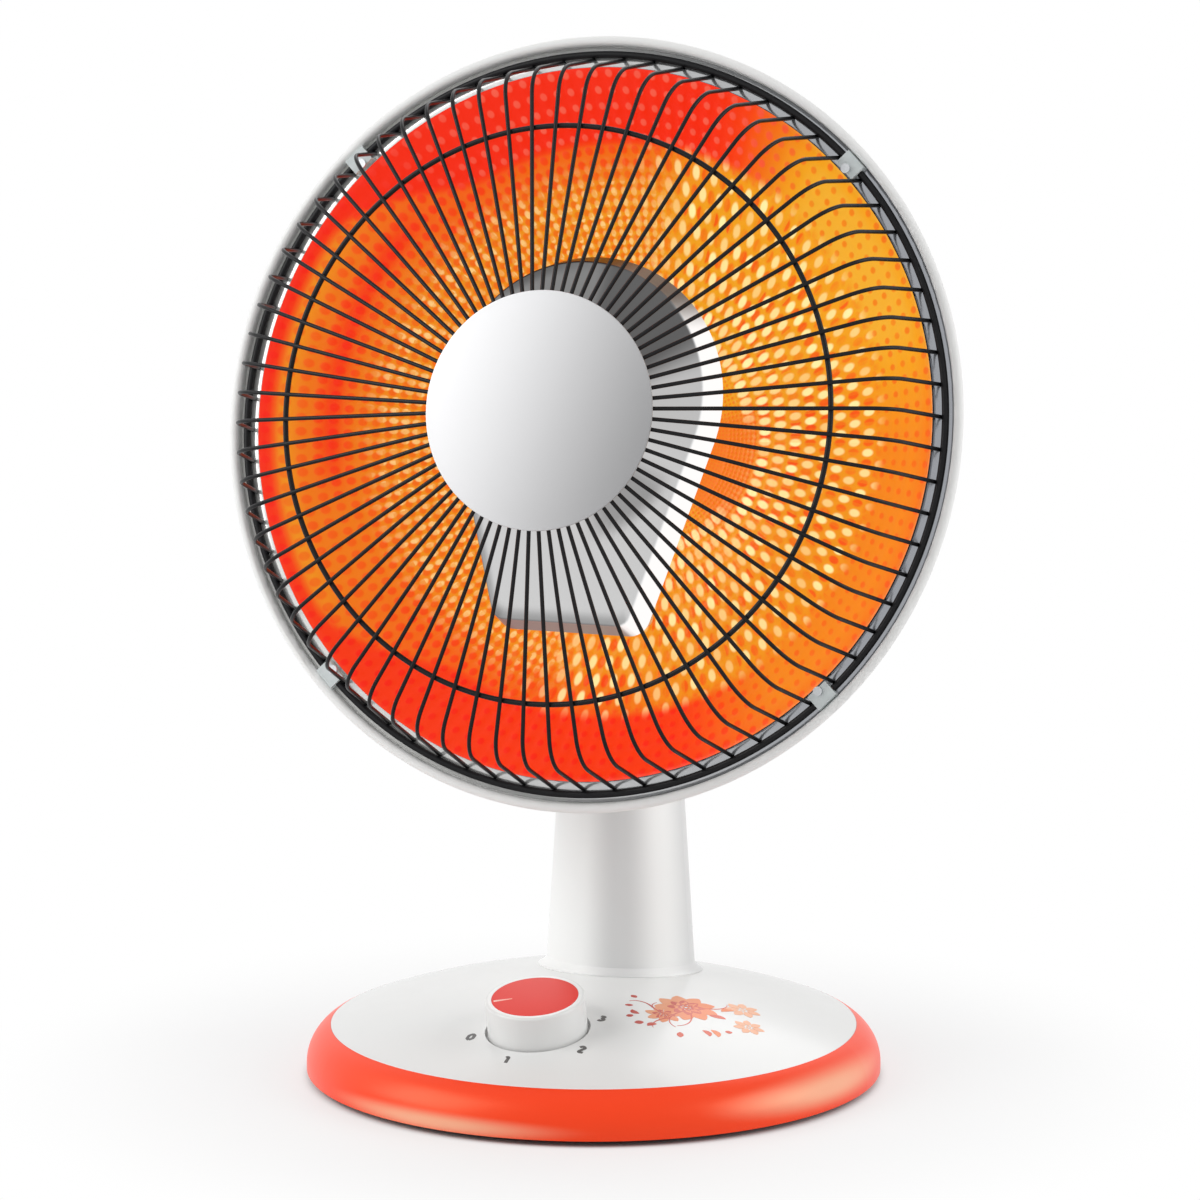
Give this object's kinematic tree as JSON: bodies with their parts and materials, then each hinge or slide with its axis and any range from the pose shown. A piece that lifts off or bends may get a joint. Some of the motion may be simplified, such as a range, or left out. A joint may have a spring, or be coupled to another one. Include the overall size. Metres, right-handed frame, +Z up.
{
  "type": "parabolic radiant heater",
  "caption": "Dish-shaped radiant room heater with a wire guard, a swinging and tilting head, a round column and a domed base with a rotary switch.",
  "frame": {"origin": "centre of the base's circle at table height", "axes": "+Z up, -Y forward (the dish faces it), +X to the right seen from behind the dish"},
  "size_m": [0.3599, 0.2708, 0.4853],
  "materials": {
    "white_plastic": "glossy white moulding",
    "shell": "glossy white moulding",
    "orange_plastic": "glossy orange-red moulding",
    "red_plastic": "glossy red moulding",
    "grey_plastic": "satin dark grey moulding",
    "black_plastic": "satin black",
    "rubber": "matt black",
    "steel": "zinc-plated",
    "iron": "rough cast",
    "ceramic": null,
    "brass": "plain",
    "motor": "plain sheet",
    "reflector": "bright anodised, dimpled",
    "chrome": "mirror-bright",
    "quartz": "clear quartz",
    "filament": "glowing coil",
    "guard_black": "semi-gloss black",
    "disc": "radially brushed",
    "clear_plastic": "clear moulding"
  },
  "bodies": {
    "base": {"base_top": "white_plastic", "base_skirt": "orange_plastic", "base_plate": "grey_plastic", "rubber_feet": "rubber", "plate_screws": "steel", "counterweight": "iron", "cord_grommet": "rubber", "terminal_block": "ceramic", "tip_switch": "black_plastic", "rotary_switch": "ceramic", "switch_nut": "steel", "column": "white_plastic", "column_screws": "steel", "swivel_bush": "brass", "swing_motor": "motor", "motor_screws": "steel"},
    "plunger": {"tip_plunger": "red_plastic"},
    "selector": {"switch_shaft": "steel", "knob": "white_plastic", "knob_cap": "red_plastic"},
    "neck": {"motor_shaft": "steel", "turret": "white_plastic", "retaining_clip": "steel", "tilt_bolt": "steel", "tilt_nut": "steel", "tilt_washers": "black_plastic"},
    "head": {"hinge_lug": "white_plastic", "lug_screws": "steel", "rear_shell": "shell", "rear_cover": "white_plastic", "cover_screws": "steel", "head_terminals": "ceramic", "reflector": "reflector", "thermal_cutout": "steel", "lead_bushes": "ceramic", "lead_sleeves": "ceramic", "shield": "chrome", "shield_posts": "steel", "heating_tube": "quartz", "filament": "filament", "tube_ends": "ceramic", "tube_clips": "steel", "guard_wires": "guard_black", "guard_rings": "guard_black", "guard_disc": "disc", "guard_clips": "clear_plastic", "clip_screws": "steel"}
  },
  "joints": [
    {"name": "knob_turn", "type": "hinge", "parent": "base", "child": "selector", "pos_m": [0, -0.0738, 0.0387], "axis": [0, -0.2147, 0.9767], "range_deg": [0, 180]},
    {"name": "swing", "type": "hinge", "parent": "base", "child": "neck", "pos_m": [0, 0.0368, 0.138], "axis": [0, 0, 1], "range_deg": [-35, 35]},
    {"name": "tilt", "type": "hinge", "parent": "neck", "child": "head", "pos_m": [0, 0.0418, 0.168], "axis": [1, 0, 0], "range_deg": [-12.5, 12.5]},
    {"name": "tip_switch_press", "type": "slide", "parent": "base", "child": "plunger", "axis": [0, 0, -1], "range_m": [0, 0.004], "stiffness_N_per_m": 150, "springref_m": 0.006}
  ]
}
